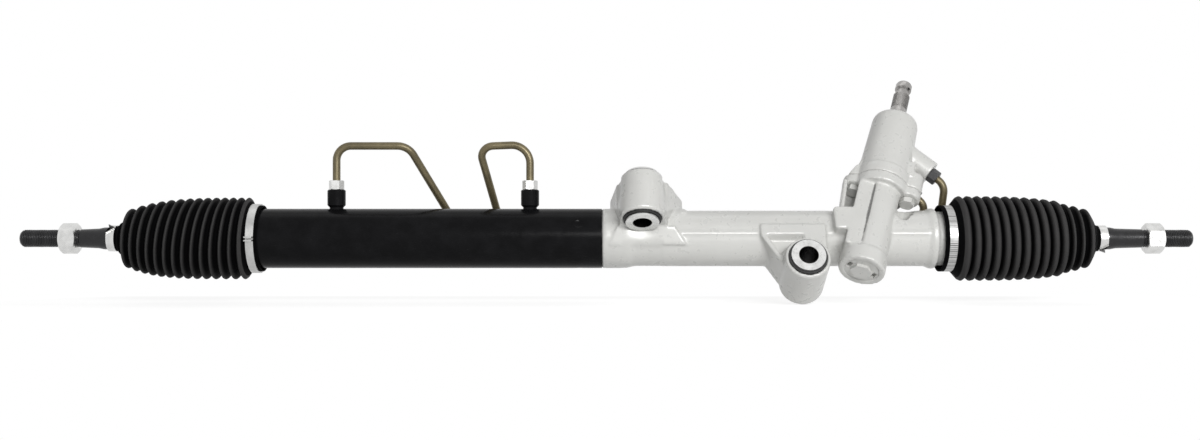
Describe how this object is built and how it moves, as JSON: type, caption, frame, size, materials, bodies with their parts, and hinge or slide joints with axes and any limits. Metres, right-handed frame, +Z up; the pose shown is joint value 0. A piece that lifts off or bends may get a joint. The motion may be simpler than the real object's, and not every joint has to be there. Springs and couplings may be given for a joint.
{
  "type": "steering rack",
  "caption": "Hydraulic rack-and-pinion steering gear with a steel cylinder, cast housing, bellows, tie rods and rubber-bushed mount eyes.",
  "frame": {"origin": "centre of the left mount eye's bore", "axes": "+X along the rack towards the pinion end, +Z up, -Y towards the side seen in the picture"},
  "size_m": [1.0624, 0.1602, 0.211],
  "materials": {
    "cast_aluminium": "satin",
    "black_enamel": "gloss",
    "zinc_plate": "satin",
    "olive_pipe": "satin",
    "black_rubber": "matte",
    "phosphated_steel": "satin",
    "ground_steel": "polished",
    "sliding_plastic": "matte",
    "sintered_metal": "matte"
  },
  "bodies": {
    "housing": {"bellows_left": "black_rubber", "bellows_right": "black_rubber", "cylinder_flare_nuts": "zinc_plate", "cylinder_tube": "black_enamel", "dust_cover": "black_rubber", "input_bearing": "ground_steel", "input_shaft_seal": "black_rubber", "large_clamp_left": "zinc_plate", "large_clamp_right": "zinc_plate", "lower_bearing_outer": "ground_steel", "mount_bush_left": "black_rubber", "mount_bush_right": "black_rubber", "mount_sleeve_left": "zinc_plate", "mount_sleeve_right": "zinc_plate", "pinion_end_plug": "cast_aluminium", "pinion_seal": "black_rubber", "port_boss_left": "black_enamel", "port_boss_right": "black_enamel", "pressure_pipe_left": "olive_pipe", "pressure_pipe_right": "olive_pipe", "rack_bush": "sliding_plastic", "rack_housing": "cast_aluminium", "rack_inner_seal": "black_rubber", "rack_outer_seal": "black_rubber", "rack_seal_backup": "sliding_plastic", "upper_bearing": "ground_steel", "valve_flare_nuts": "zinc_plate", "valve_housing": "cast_aluminium", "valve_housing_bolts": "zinc_plate", "valve_housing_o_ring": "black_rubber", "yoke": "sintered_metal", "yoke_lock_nut": "black_enamel", "yoke_plug": "black_enamel", "yoke_spring": "ground_steel"},
    "rack": {"rack_bar": "ground_steel", "piston": "ground_steel", "piston_ring": "sliding_plastic", "ball_socket_left": "phosphated_steel", "ball_socket_right": "phosphated_steel", "claw_washer_left": "phosphated_steel", "claw_washer_right": "phosphated_steel"},
    "pinion": {"pinion": "ground_steel", "lower_bearing_inner": "ground_steel", "lower_bearing_balls": "ground_steel", "valve_sleeve": "ground_steel", "valve_sleeve_rings": "sliding_plastic", "torsion_bar": "ground_steel"},
    "input_shaft": {"input_shaft": "ground_steel", "torsion_bar_pin": "ground_steel"},
    "left_seat": {"ball_seat_left": "sliding_plastic"},
    "right_seat": {"ball_seat_right": "sliding_plastic"},
    "left_tie_rod": {"tie_rod_left": "phosphated_steel", "jam_nut_left": "zinc_plate", "small_clamp_left": "zinc_plate"},
    "right_tie_rod": {"tie_rod_right": "phosphated_steel", "jam_nut_right": "zinc_plate", "small_clamp_right": "zinc_plate"}
  },
  "joints": [
    {"name": "rack_slide", "type": "slide", "parent": "housing", "child": "rack", "axis": [1, 0, 0], "range_m": [-0.08, 0.064], "deforming": ["bellows_left", "bellows_right"]},
    {"name": "pinion_turn", "type": "hinge", "parent": "housing", "child": "pinion", "pos_m": [0.2066, 0.01427, -0.02566], "axis": [0.289, 0.5628, 0.7744], "range_deg": [-485, 605]},
    {"name": "torsion_bar_twist", "type": "hinge", "parent": "pinion", "child": "input_shaft", "pos_m": [0.2355, 0.07056, 0.05178], "axis": [0.289, 0.5628, 0.7744], "range_deg": [-5, 5], "stiffness_Nm_per_rad": 100, "deforming": ["torsion_bar"]},
    {"name": "left_tie_rod_turn", "type": "hinge", "parent": "rack", "child": "left_seat", "pos_m": [-0.4434, 0.02803, -0.03566], "axis": [1, 0, 0], "continuous": true},
    {"name": "left_tie_rod_swing", "type": "hinge", "parent": "left_seat", "child": "left_tie_rod", "pos_m": [-0.4434, 0.02803, -0.03566], "axis": [0, 1, 0], "range_deg": [-20, 20]},
    {"name": "right_tie_rod_turn", "type": "hinge", "parent": "rack", "child": "right_seat", "pos_m": [0.3816, 0.02803, -0.03566], "axis": [1, 0, 0], "continuous": true},
    {"name": "right_tie_rod_swing", "type": "hinge", "parent": "right_seat", "child": "right_tie_rod", "pos_m": [0.3816, 0.02803, -0.03566], "axis": [0, 1, 0], "range_deg": [-20, 20]}
  ],
  "couplings": [
    {"joint": "pinion_turn", "follows": "rack_slide", "rad_per_m": -130.9}
  ]
}
